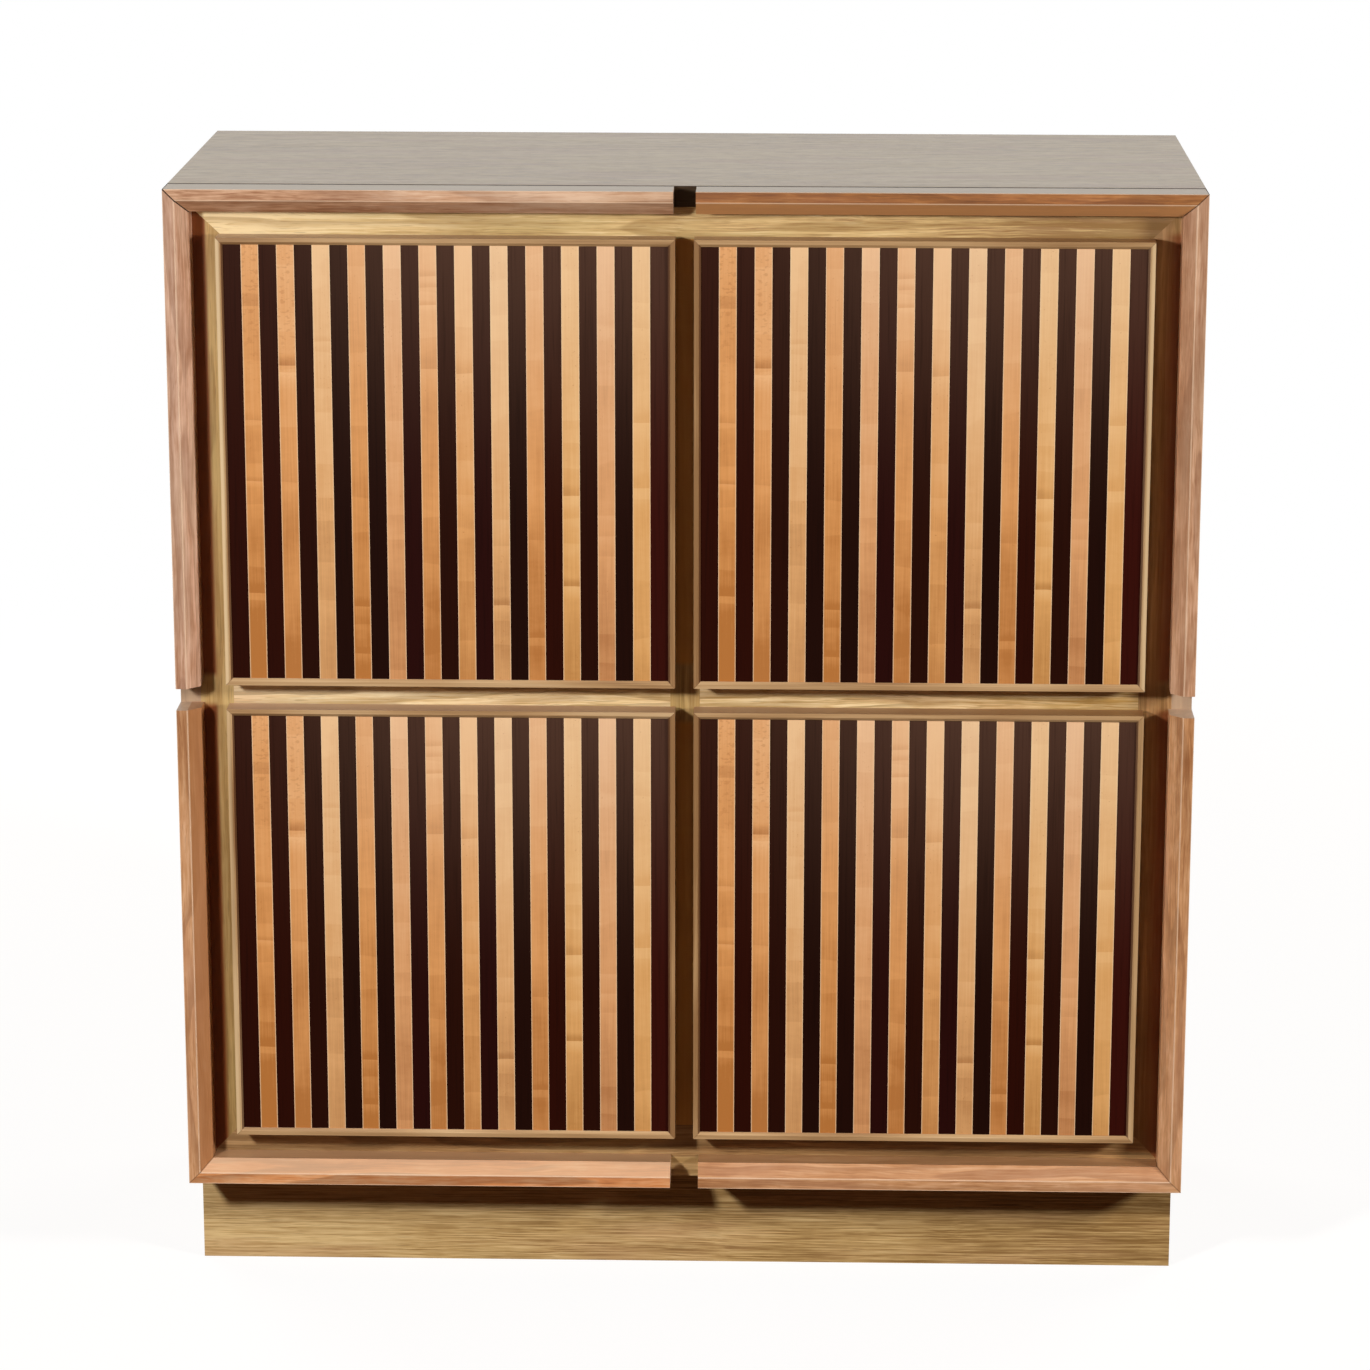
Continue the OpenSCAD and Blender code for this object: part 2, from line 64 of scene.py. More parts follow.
# The nodes of one material, light or world
class Finish:
    def __init__(self, tree):
        self.tree = tree
        tree.nodes.clear()

    def add(self, kind, settings=None, inputs=None, output=0):
        node = self.tree.nodes.new(kind)
        for name, value in (settings or {}).items():
            if name == "stops":
                self.setStops(node.color_ramp, value)
            else:
                setattr(node, name, value)
        for key, value in (inputs or {}).items():
            if isinstance(value, Wire):
                self.tree.links.new(value.socket, node.inputs[key])
            else:
                node.inputs[key].default_value = value
        return Wire(self, node.outputs[output]) if len(node.outputs) else None

    def setStops(self, ramp, stops):
        stops = list(stops)
        while len(ramp.elements) < len(stops):
            ramp.elements.new(1.0)
        for element, (position, colour) in zip(ramp.elements, stops):
            element.position = position
            element.color = colour

    def coordinates(self, output="Object"):
        place = {0: self.add("ShaderNodeTexCoord", output=output)}
        return [self.add("ShaderNodeSeparateXYZ", inputs=place, output=axis) for axis in range(3)]

    def vector(self, x, y, z):
        return self.add("ShaderNodeCombineXYZ", inputs={0: x, 1: y, 2: z})

    def noise(self, vector, detail=2.0, roughness=0.5, output="Fac"):
        return self.add(
            "ShaderNodeTexNoise",
            inputs={"Vector": vector, "Scale": 1.0, "Detail": detail, "Roughness": roughness},
            output=output,
        )

    def draw(self, x, y, z):
        return self.add("ShaderNodeTexWhiteNoise", inputs={"Vector": self.vector(x, y, z)})

    def ease(self, value, low, high):
        return self.add(
            "ShaderNodeMapRange",
            {"interpolation_type": "SMOOTHSTEP"},
            {"Value": value, "From Min": low, "From Max": high},
        )

    def take(self, operation, first, second=0.0):
        return self.add("ShaderNodeMath", {"operation": operation}, {0: first, 1: second})

    # The colours of a wood over its tone, from deep by mid to pale
    def shades(self, tone, wood, stops):
        colours = [(stop, tint(wood[shade])) for stop, shade in zip(stops, ("deep", "mid", "pale"))]
        return self.add("ShaderNodeValToRGB", {"stops": colours}, {0: tone})

    def grey(self, colour):
        return self.add("ShaderNodeRGBToBW", inputs={0: colour})

    def blend(self, share, first, second, how="MIX"):
        return self.add(
            "ShaderNodeMix",
            {"data_type": "RGBA", "blend_type": how},
            {0: share, 6: first, 7: second},
            output=2,
        )


# A colour written as it looks on a screen, as the values that Blender mixes
def tint(code):
    values = [int(code[i:i + 2], 16) / 255 for i in (0, 2, 4)]
    return [v / 12.92 if v <= 0.04045 else ((v + 0.055) / 1.055) ** 2.4 for v in values] + [1.0]


def newFinish(name):
    material = bpy.data.materials.new(name)
    material.use_nodes = True
    return material, Finish(material.node_tree)


# Ends a material: the varying looks go in as wires and the even ones as plain values
def closeFinish(finish, colour, roughness, height, values, coat=None):
    normal = finish.add(
        "ShaderNodeBump",
        inputs={"Strength": values["relief"], "Distance": values["reliefDepth"], "Height": height},
    )
    surface = finish.add(
        "ShaderNodeBsdfPrincipled",
        inputs={
            "Base Color": colour,
            "Roughness": roughness,
            "Normal": normal,
            "Specular IOR Level": values["gloss"],
            "Coat Weight": values["coat"] if coat is None else coat,
            "Coat Roughness": values["coatRoughness"],
            "Metallic": values.get("metal", 0.0),
        },
    )
    finish.add("ShaderNodeOutputMaterial", inputs={"Surface": surface})


def dress(node, material):
    piece = nodes[node]
    piece.data.materials.clear()
    piece.data.materials.append(material)


# How far the edges of the pieces are rounded, in metres. Only edges above the angle are
edges = {
    "board": 0.0006, "moulding": 0.0011, "door": 0.0004, "stave": 0.0002, "metal": 0.0003,
    "angle": 30.0,
}


def soften(node, width, segments=2):
    bevel = nodes[node].modifiers.new("worn edge", "BEVEL")
    bevel.width = width
    bevel.segments = segments
    bevel.limit_method = "ANGLE"
    bevel.angle_limit = math.radians(edges["angle"])
    bevel.harden_normals = True


# Boards of plain sawn timber. The grain runs along one axis: wavy streaks, finer fibres, a short
# mottle, the contour lines of a stretched noise as rings, and pores as short dark dashes. A board
# may get darker to the right (lean) or downwards (sink), and a moulding's bevel may be painted
# darker than its flat, as painted shade, or, below zero, paler, as painted light
oak = {
    "pale": "dec48c", "mid": "c4a668", "deep": "96773f", "vein": "7b5d2f", "tinge": "b5a870",
    "end": "a98d63", "wander": 0.012, "sway": 0.004, "clouds": 0.8, "streaks": 1.5, "fibres": 0.9,
    "mottle": 0.2, "tinged": 0.35, "stretch": 1.6, "spread": 30.0, "rings": 9.0,
    "ringStrength": 0.3, "pores": 0.4, "streakRun": 3.5, "fibreRun": 11.0, "fibreFine": 430.0,
    "lean": 0.0, "sink": 0.0, "bevel": 0.0, "roughness": 0.42, "relief": 0.25,
    "reliefDepth": 0.0006, "gloss": 0.3, "coat": 0.05, "coatRoughness": 0.3,
}
# Close to the moulding the side stiles are painted dark red, as painted shade where the moulding
# casts its shadow, and the centre stile is painted redder all over, as painted shade between the
# doors.
# The painted shade leaves out the lit level channel, by shadeGap, and what is above shadeTop
stileOak = dict(
    oak, pale="d5b981", mid="bd9b64", deep="8f713e", vein="735429", lean=0.25, sink=0.4,
    stainAndShade="7a3a18", stainedAndShaded=0.94, shadeFrom=0.5075, shadeTo=0.5125, shadeTop=1.3, shadeGap=0.012,
)
rightStileOak = dict(
    stileOak, pale="c8a276", mid="ac8458", deep="84603a", sink=0.6,
    stainedAndShaded=0.8, shadeFrom=0.503, shadeTo=0.523, shadeTop=1.185,
)
centreStileOak = dict(
    stileOak, stainAndShade="d2984c", stainedAndShaded=0.8, shadeFrom=-1.0, shadeTo=-0.5, shadeGap=0.028,
)
railOak = dict(
    oak, pale="f2deb0", mid="d9bd86", deep="a4825a", vein="8a6833", clouds=0.5, streaks=1.2,
    fibres=1.6, ringStrength=0.45, fibreFine=600.0, lean=0.8,
)
# The bottom rail is a darker copy of the rail oak, as painted shade under the lower doors
lowRailOak = dict(railOak, pale="caa87a", mid="ae885a", deep="80603c", vein="664a2a", lean=0.15)
midRailOak = dict(railOak, pale="feeec6", mid="ecd2a0", deep="ba9658", tinge="e0b090", lean=0.5)
sideOak = dict(
    oak, pale="dabb8a", mid="c3a06e", deep="a07e4e", streakRun=1.0, fibreRun=4.0, mottle=0.1,
    streaks=1.1, clouds=0.6, stretch=0.9, spread=11.0, rings=14.0, ringStrength=0.4, wander=0.03,
)
innerOak = dict(
    sideOak, pale="e2cca6", mid="d2b78a", deep="b89868", vein="a08455", ringStrength=0.3,
)
plinthOak = dict(
    oak, pale="e4c994", mid="c2a26c", deep="8e6e40", vein="7b5c34", tinge="c89c7a", streaks=0.6,
    fibres=2.2, clouds=0.3, wander=0.006, sway=0.002, tinged=0.3, ringStrength=0.1, fibreRun=10.0,
    fibreFine=650.0, lean=0.4,
)
topOak = dict(
    sideOak, pale="f6e0a8", mid="dcc086", deep="a08250", vein="766040", tinge="c8987c", tinged=0.4,
    streaks=0.4, fibres=1.6, mottle=0.7, ringStrength=0.1, streakRun=3.0, fibreRun=28.0,
    gloss=0.5, coat=1.0, coatRoughness=0.22, roughness=0.36,
)
walnut = {
    "pale": "e6c2aa", "mid": "cba187", "deep": "a5724f", "vein": "7d4f35", "tinge": "b79c80",
    "end": "c4b09c", "wander": 0.02, "sway": 0.005, "clouds": 1.0, "streaks": 0.9, "fibres": 1.4,
    "mottle": 0.5, "tinged": 0.45, "stretch": 2.6, "spread": 26.0, "rings": 6.0,
    "ringStrength": 0.35, "pores": 0.25, "streakRun": 3.5, "fibreRun": 22.0, "fibreFine": 600.0,
    "lean": 0.0, "sink": 0.0, "bevel": 0.0, "roughness": 0.4, "relief": 0.15,
    "reliefDepth": 0.0004, "gloss": 0.3, "coat": 0.8, "coatRoughness": 0.3,
}
# Each moulding member has its own bevel: painted shade where the lamps light its bevel less than its
# flat, painted light where they light it more
crownWalnut = dict(walnut, pale="f0d0b4", mid="d8ad8c", bevel=0.2)
redWalnut = dict(
    walnut, pale="d8a06a", mid="b87c48", deep="8f603c", vein="6a4026", tinge="a86e5c", bevel=-0.7,
)
shadyWalnut = dict(walnut, pale="ecc6a8", mid="d0a281", bevel=0.3)
warmWalnut = dict(walnut, pale="ecc098", mid="d09c6e", deep="a87248", vein="7c4e30", tinge="d4a284")
duskWalnut = dict(warmWalnut, bevel=0.75)
sunWalnut = dict(
    warmWalnut, pale="f2c092", mid="e0965c", deep="b06c40", tinge="dc986c", bevel=0.6,
    bevelled="d8b898", streaks=1.1, ringStrength=0.5,
)
lowWalnut = dict(warmWalnut, bevel=0.25)

# How the grain is drawn on every board. The pairs are waves per metre, along the grain and across
# it, and the pairs named Edge, Rise and Fall say where a mark begins and where it is full
grain = {
    "seedStep": 3.7, "drift": (2.2, 5.0), "sway": (16.0, 24.0), "cloud": (4.0, 16.0),
    "streak": 140.0, "mottle": (48.0, 100.0), "patch": (5.0, 30.0), "pore": (30.0, 800.0),
    "patchEdge": (0.45, 0.75), "poreEdge": (0.6, 0.74), "ringRise": (0.2, 0.85),
    "ringFall": (1.0, 0.9), "stops": (0.1, 0.5, 0.9), "sinkBelow": 0.67, "sawn": 0.75,
    "ringRough": 0.06, "poreRough": 0.1, "sawnRough": 0.2, "seamRough": 0.6,
    "ringDip": 0.2, "poreDip": 0.5, "fibreLift": 0.3,
}
squareOn = 0.85  # a face looks along an axis when its normal has more than this share of it
channel = {"height": 0.6735, "heightRamp": 0.009, "topFade": 0.01}  # between upper and lower doors
seams = {"colour": "24140c", "width": 0.0009, "front": 0.005, "strength": 0.95, "faint": 0.4}
panelEdge = {"colour": "b09a8a", "strength": 0.7}
# The moulding: its flat has painted highlights along its edges, and is 12 mm wide from its outer
# edge. Of its level faces the top strip is painted paler, as painted light, and the inner ledge at
# the bottom is painted browner, as painted shade
flatHighlight = {
    "colour": "f6dcc0", "flat": 0.012, "width": 0.0007, "strength": 0.55, "halfWidth": 0.55,
    "front": 0.002,
}
levelLightAndShade = {"top": ("fff6e2", 0.9), "bottom": ("8e6a46", 0.6)}


# Where a noise is read: the place along the grain as it is, and those across it times the waves
def grainPlace(finish, run, side, depth, waves):
    return finish.vector(run, side * waves, depth * waves)


# The painted shade on the stiles: dark red beside the moulding, kept out of the lit level channel
def paintStileShade(finish, colour, wood, x, z):
    near = finish.ease(finish.take("ABSOLUTE", x), wood["shadeFrom"], wood["shadeTo"])
    fromChannel = finish.take("ABSOLUTE", z - channel["height"])
    kept = finish.ease(fromChannel, wood["shadeGap"], wood["shadeGap"] + channel["heightRamp"])
    kept = kept * finish.ease(z, wood["shadeTop"], wood["shadeTop"] - channel["topFade"])
    return finish.blend(near * kept * wood["stainedAndShaded"], colour, tint(wood["stainAndShade"]))


# The painted shade and light of the bevel, the painted highlights along the flat and the painted
# light and shade of the level faces of the moulding, with dark glue lines at its mitred corners,
# where the distances to the two outer edges match
def shapeMoulding(finish, colour, board, place):
    piece, wood, along, seam = board
    x, y, z = place
    low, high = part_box(piece)
    corner = high.z if "top" in piece or "upper" in piece else low.z
    outer = flatHighlight["halfWidth"] - finish.take("ABSOLUTE", x)
    inner = finish.take("ABSOLUTE", z - corner)
    gap = finish.take("ABSOLUTE", outer - inner) < seams["width"]
    strength = seams["strength"] if seam == "mitre" else seams["faint"]
    fromOuter = outer if along == "z" else inner
    # The bevel is painted darker (painted shade) or paler (painted light) than the flat, as set for
    # the member
    if wood["bevel"]:
        bevelled = fromOuter > flatHighlight["flat"]
        shade = tint(wood.get("bevelled", wood["deep" if wood["bevel"] > 0.0 else "pale"]))
        colour = finish.blend(bevelled * abs(wood["bevel"]), colour, shade)
    fromFlat = finish.take("ABSOLUTE", fromOuter - flatHighlight["flat"])
    fromLine = finish.take("MINIMUM", fromOuter, fromFlat)
    edgeHighlight = (fromLine < flatHighlight["width"]) * (y < low.y + flatHighlight["front"])
    colour = finish.blend(edgeHighlight * flatHighlight["strength"], colour, tint(flatHighlight["colour"]))
    # Painted light on the upward faces of the top strip, painted shade on the bottom ledge
    for side, (look, share) in levelLightAndShade.items():
        if piece.startswith(side):
            upward = finish.coordinates("Normal")[2] > squareOn
            colour = finish.blend(upward * share, colour, tint(look))
    return finish.blend(gap * strength, colour, tint(seams["colour"])), gap


# The colour of a board with its seam, and where the seam is: the front edge of a side panel,
# greyed as painted shade, the line along the front of the top, or the corners of the moulding
def drawSeam(finish, colour, board, place):
    piece, wood, along, seam = board
    if seam == "greyed":
        gap = (finish.coordinates("Normal")[1] < -squareOn) * panelEdge["strength"]
        return finish.blend(gap, colour, tint(panelEdge["colour"])), gap
    if seam == "front":
        gap = (place[1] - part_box(piece)[0].y) < seams["front"]
        return finish.blend(gap * seams["strength"], colour, tint(seams["colour"])), gap
    return shapeMoulding(finish, colour, board, place)


def boardFinish(name, wood, along, seed, seam=None):
    material, finish = newFinish(name)
    x, y, z = finish.coordinates()
    run, side, depth = {"x": (x, y, z), "y": (y, x, z), "z": (z, x, y)}[along]
    shift = seed * grain["seedStep"]

    # The grain wanders over the length of the board and sways a little from place to place
    waves, spread = grain["drift"]
    place = grainPlace(finish, run * waves + shift, side, depth, spread)
    drift = finish.noise(place, detail=1.0) - 0.5
    waves, spread = grain["sway"]
    place = grainPlace(finish, run * waves - shift, side, depth, spread)
    sway = finish.noise(place, detail=1.0) - 0.5
    bend = drift * wood["wander"] + sway * wood["sway"]
    across = side + bend
    through = depth + bend

    # The tone, from broad clouds to a short mottle
    waves, spread = grain["cloud"]
    cloud = finish.noise(grainPlace(finish, run * waves - shift, side, depth, spread))
    place = grainPlace(finish, run * wood["streakRun"] + shift, across, through, grain["streak"])
    streak = finish.noise(place, detail=3.0, roughness=0.6)
    place = grainPlace(finish, run * wood["fibreRun"] + shift, across, through, wood["fibreFine"])
    fibre = finish.noise(place, detail=3.0, roughness=0.7)
    waves, spread = grain["mottle"]
    mottle = finish.noise(grainPlace(finish, run * waves - shift, across, through, spread))
    tone = (
        0.5 + (cloud - 0.5) * wood["clouds"] + (streak - 0.5) * wood["streaks"]
        + (fibre - 0.5) * wood["fibres"] + (mottle - 0.5) * wood["mottle"]
        - x * wood["lean"] - (grain["sinkBelow"] - z) * wood["sink"]
    )
    colour = finish.shades(tone, wood, grain["stops"])
    waves, spread = grain["patch"]
    patch = finish.noise(finish.vector(run * waves, across * spread + shift, through * spread))
    tinged = finish.ease(patch, *grain["patchEdge"]) * wood["tinged"]
    colour = finish.blend(tinged, colour, tint(wood["tinge"]))

    # Rings and pores
    place = grainPlace(finish, run * wood["stretch"] + shift, across, through, wood["spread"])
    field = finish.noise(place, detail=1.5, roughness=0.4)
    phase = finish.take("FRACT", field * wood["rings"])
    ring = finish.ease(phase, *grain["ringRise"]) * finish.ease(phase, *grain["ringFall"])
    waves, spread = grain["pore"]
    place = finish.vector(run * waves, across * spread + shift, through * spread)
    pit = finish.ease(finish.noise(place, detail=1.0), *grain["poreEdge"])
    colour = finish.blend(ring * wood["ringStrength"], colour, tint(wood["vein"]))
    colour = finish.blend(pit * wood["pores"], colour, tint(wood["vein"]))
    # The stiles get their painted shade here
    if "stainAndShade" in wood:
        colour = paintStileShade(finish, colour, wood, x, z)

    # Sawn ends are duller and show no grain lines
    facing = finish.coordinates("Normal")["xyz".index(along)]
    sawn = finish.take("ABSOLUTE", facing) > squareOn
    colour = finish.blend(sawn * grain["sawn"], colour, tint(wood["end"]))
    if seam:
        board = (name.removesuffix("_wood"), wood, along, seam)
        colour, gap = drawSeam(finish, colour, board, (x, y, z))

    rough = wood["roughness"] + ring * grain["ringRough"] + pit * grain["poreRough"]
    rough = rough + sawn * grain["sawnRough"]
    if seam:
        rough = rough + gap * grain["seamRough"]
    height = 0.5 - ring * grain["ringDip"] - pit * grain["poreDip"] + fibre * grain["fibreLift"]
    coat = wood["coat"] - gap * wood["coat"] if seam else None
    closeFinish(finish, colour, rough, height, wood, coat)
    return material


# Each board: its piece, its wood, the axis of its grain and its seam
boards = [
    ("top_panel", topOak, "x", "front"), ("bottom_panel", sideOak, "x", None),
    ("left_side_panel", sideOak, "z", "greyed"), ("right_side_panel", sideOak, "z", "greyed"),
    ("back_panel", innerOak, "z", None), ("centre_partition", innerOak, "z", None),
    ("left_deck", innerOak, "x", None), ("right_deck", innerOak, "x", None),
    ("left_stile", stileOak, "z", None), ("right_stile", rightStileOak, "z", None),
    ("centre_stile", centreStileOak, "z", None),
    ("top_rail", railOak, "x", None), ("bottom_rail", lowRailOak, "x", None),
    ("left_mid_rail", midRailOak, "x", None), ("right_mid_rail", midRailOak, "x", None),
    ("plinth_front", plinthOak, "x", None), ("plinth_back", plinthOak, "x", None),
    ("plinth_left", plinthOak, "y", None), ("plinth_right", plinthOak, "y", None),
    ("plinth_blocks", innerOak, "z", None),
    ("top_left_moulding", crownWalnut, "x", "mitre"),
    ("top_right_moulding", redWalnut, "x", "mitre"),
    ("bottom_left_moulding", sunWalnut, "x", "faint mitre"),
    ("bottom_right_moulding", lowWalnut, "x", "faint mitre"),
    ("upper_left_moulding", walnut, "z", "mitre"),
    ("upper_right_moulding", shadyWalnut, "z", "faint mitre"),
    ("lower_left_moulding", duskWalnut, "z", "faint mitre"),
    ("lower_right_moulding", warmWalnut, "z", "faint mitre"),
]
for number, (node, wood, along, seam) in enumerate(boards):
    dress(node, boardFinish(node + "_wood", wood, along, number + 1, seam))
    soften(node, edges["moulding" if "moulding" in node else "board"])
print("case, frame, moulding and plinth finished")


# Doors. All four show the same run of staves, counted from the left, and each stave has its own
# kind. A painted pale sheen, standing in for a reflection, grows upwards, and from the left to the
# middle
staveField = {
    "count": 25, "sheenRise": (0.12, 1.15), "sheenAcross": (-0.05, 0.6), "sheenLeast": 0.2,
    "sheenGrowth": 0.8,
}
# In the maple the pairs are waves per metre, across the stave and along it, or say where a mark
# begins and where it is full: darkEdge and brightEdge in lengths of the mark, edgeFade in edgeWidths
maple = {
    "pale": "f4d0a0", "mid": "e2a86c", "deep": "bc7636", "edge": "fbdfba", "veil": "fff0d8",
    "clouds": 0.65, "bands": 0.14, "heightRamp": 0.62, "streaks": 0.6, "ripples": 0.2, "tinged": 0.5,
    "veiled": 0.3, "foot": 0.14, "footLean": 0.2, "curls": 0.4, "flecks": 0.5, "marks": 0.45,
    "edgeWidth": 0.0008, "edgeStrength": 0.6, "ownDraw": (3.0, 1.0), "ownShift": 37.0,
    "cloud": (22.0, 8.0), "band": (0.8, 9.0), "bandCount": 6.0, "bandRise": (0.0, 0.9),
    "bandFall": (1.0, 0.97), "bandMiddle": 0.4, "streak": (520.0, 11.0), "ripple": (60.0, 150.0),
    "footEdge": (0.45, 0.0), "wave": (30.0, 3.0), "waveHeight": 0.004,
    "darkEdge": (1.3, 0.3), "brightEdge": (-1.8, -0.3), "bright": 0.7,
    "fleck": 420.0, "fleckEdge": (0.7, 0.78), "fleckClouds": (0.56, 0.5),
    "curl": (170.0, 380.0), "curlWave": 400.0, "curlEdge": (0.57, 0.64), "curlRise": (0.62, 0.9),
    "curlStaves": 4.0, "edgeFade": (1.5, 0.7), "stops": (0.0, 0.5, 1.0), "streakRough": 0.1,
    "rippleHeight": 0.5, "roughness": 0.36, "relief": 0.1, "reliefDepth": 0.0002,
    "gloss": 0.35, "coat": 0.1, "coatRoughness": 0.25,
}
# The tone and the tinge of each kind
mapleKinds = {
    "amber": (0.38, "de9854"), "warm": (0.43, "e09c5c"), "plain": (0.6, "e4a868"),
    "pale": (0.62, "efbf88"), "pink": (0.51, "e6ac7e"), "yellow": (0.62, "ecb870"),
}
mapleStaves = "amber warm pale amber pink warm plain pale warm yellow pink yellow".split()
millimetre = 0.001
# Each mark: stave, height in the field, length in millimetres, strength
figureMarks = [
    (2, 0.725, 12, 0.75), (2, 0.71, 16, 0.4), (6, 0.93, 7, 0.5), (6, 0.905, 6, 0.4),
    (6, 0.865, 5, 0.6), (6, 0.72, 22, 0.45), (7, 0.71, 14, 0.5), (1, 0.86, 14, 0.35),
    (1, 0.6, 9, 0.35), (1, 0.2, 12, 0.6), (1, 0.46, 5, 0.45), (8, 0.175, 8, 0.6),
    (10, 0.43, 12, 0.7), (10, 0.22, 9, 0.8), (12, 0.6, 16, 0.45), (12, 0.45, 18, 0.4),
    (4, 0.17, 10, 0.45), (4, 0.06, 7, 0.55), (3, 0.78, 6, 0.25), (9, 0.1, 9, 0.35),
]
rosewood = {
    "top": "543c31", "heightRamp": 0.98, "streaks": 0.3, "streak": (420.0, 9.0),
    "streakEdge": (0.45, 0.75), "ownDraw": (7.0, 3.0), "ownShift": 29.0, "roughness": 0.45,
    "streakRough": 0.12, "relief": 0.08, "reliefDepth": 0.0002, "gloss": 0.06, "coat": 0.0,
    "coatRoughness": 0.3,
}
rosewoodKinds = {
    "red": "2c0d06", "brown": "280e07", "black": "200c07", "purple": "280c0a", "bright": "37100b",
}
rosewoodStaves = (
    "red red brown black black purple brown purple black red brown black bright".split()
)
doors = ["upper_left", "upper_right", "lower_left", "lower_right"]


# Where a point is: its stave, how far across the stave and the door, and how high
def staveSpace(finish, door):
    low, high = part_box(door + "_dark_staves")
    x, y, z = finish.coordinates()
    steps = (x - low.x) * (staveField["count"] / (high.x - low.x))
    share = steps / staveField["count"]
    rise = (z - low.z) / (high.z - low.z)
    lift = finish.ease(rise, *staveField["sheenRise"])
    sheen = lift * lift
    toMiddle = finish.ease(share, *staveField["sheenAcross"]) * staveField["sheenGrowth"]
    sheen = sheen * (staveField["sheenLeast"] + toMiddle)
    return {
        "number": finish.take("FLOOR", steps),
        "across": finish.take("FRACT", steps),
        "share": share,
        "x": x - low.x, "z": z - low.z,
        "rise": rise, "height": high.z - low.z, "sheen": sheen,
        "width": (high.x - low.x) / staveField["count"],
    }


# A value that jumps from stave to stave, picked from a list by the stave's number
def staveChoice(finish, number, first, values):
    starts = [0.0] + [(first + 2 * i - 0.5) / staveField["count"] for i in range(1, len(values))]
    stops = {"stops": zip(starts, values)}
    ramp = finish.add("ShaderNodeValToRGB", stops, {0: number / staveField["count"]})
    ramp.socket.node.color_ramp.interpolation = "CONSTANT"
    return ramp


# Figure: a dark block ends in a clean edge with a bright block below, tilted a little by the wave
def drawFigure(finish, tone, number, level, height):
    darkFar, darkNear = maple["darkEdge"]
    brightFar, brightNear = maple["brightEdge"]
    for stave, rise, length, strength in figureMarks:
        mine = finish.take("COMPARE", number, stave * 2.0 - 1.0)
        above = level - rise * height
        reach = length * millimetre
        dark = finish.ease(above, reach * darkFar, reach * darkNear) * (above > 0.0)
        bright = finish.ease(above, reach * brightFar, reach * brightNear) * (above < 0.0)
        mark = bright * maple["bright"] - dark
        tone = tone + mine * mark * (strength * maple["marks"])
    return tone


def mapleFinish(door):
    material, finish = newFinish(door + "_maple")
    at = staveSpace(finish, door)
    number, x, z = at["number"], at["x"], at["z"]
    kinds = [mapleKinds[kind] for kind in mapleStaves]
    own = staveChoice(finish, number, 1, [(base, base, base, 1.0) for base, tinge in kinds])
    hue = staveChoice(finish, number, 1, [tint(tinge) for base, tinge in kinds])
    shift = finish.draw(number, *maple["ownDraw"]) * maple["ownShift"]

    # Broad bands end in clean steps, like the curl of maple
    across, along = maple["cloud"]
    cloud = finish.noise(finish.vector(x * across + shift, shift, z * along))
    across, along = maple["band"]
    field = finish.noise(finish.vector(x * across, shift, z * along), detail=0.0)
    run = finish.take("FRACT", field * maple["bandCount"])
    band = finish.ease(run, *maple["bandRise"]) * finish.ease(run, *maple["bandFall"])
    across, along = maple["streak"]
    place = finish.vector(x * across + shift, 1.0, z * along)
    streak = finish.noise(place, detail=3.0, roughness=0.6)
    across, along = maple["ripple"]
    ripple = finish.noise(finish.vector(x * across, shift, z * along))
    tone = (
        finish.grey(own) + (cloud - 0.5) * maple["clouds"] + (at["rise"] - 0.5) * maple["heightRamp"]
        + (streak - 0.5) * maple["streaks"] + (ripple - 0.5) * maple["ripples"]
        + (maple["bandMiddle"] - band) * maple["bands"]
        + finish.ease(at["rise"], *maple["footEdge"])
        * (at["share"] * maple["footLean"] - maple["foot"])
    )
    across, along = maple["wave"]
    swing = finish.noise(finish.vector(x * across, shift, z * along), detail=0.0) - 0.5
    wave = swing * maple["waveHeight"]
    tone = drawFigure(finish, tone, number, z + wave, at["height"])
    colour = finish.shades(tone, maple, maple["stops"])
    colour = finish.blend(maple["tinged"], colour, hue, "COLOR")

    # Flecks keep to the darker clouds, and curls to the upper part of the first light staves
    fine = maple["fleck"]
    fleck = finish.noise(finish.vector(x * fine, shift, z * fine), detail=1.0)
    flecked = finish.ease(fleck, *maple["fleckEdge"])
    flecked = flecked * finish.ease(cloud, *maple["fleckClouds"])
    colour = finish.blend(flecked * maple["flecks"], colour, tint(maple["deep"]))
    across, along = maple["curl"]
    place = finish.vector(x * across + shift, shift, z * along + wave * maple["curlWave"])
    curl = finish.noise(place, detail=1.0)
    curled = finish.ease(curl, *maple["curlEdge"])
    curled = curled * finish.ease(at["rise"], *maple["curlRise"])
    curled = curled * (number < maple["curlStaves"])
    colour = finish.blend(curled * maple["curls"], colour, tint(maple["deep"]))
    # The painted sheen: a pale veil that stands in for a reflection
    colour = finish.blend(at["sheen"] * maple["veiled"], colour, tint(maple["veil"]))

    # A painted highlight along both edges of each stave
    fromEdge = finish.take("MINIMUM", at["across"], 1.0 - at["across"]) * at["width"]
    edgeFar, edgeNear = [maple["edgeWidth"] * part for part in maple["edgeFade"]]
    edgeHighlight = finish.ease(fromEdge, edgeFar, edgeNear)
    colour = finish.blend(edgeHighlight * maple["edgeStrength"], colour, tint(maple["edge"]))
    rough = maple["roughness"] + (streak - 0.5) * maple["streakRough"]
    closeFinish(finish, colour, rough, streak + ripple * maple["rippleHeight"], maple)
    return material


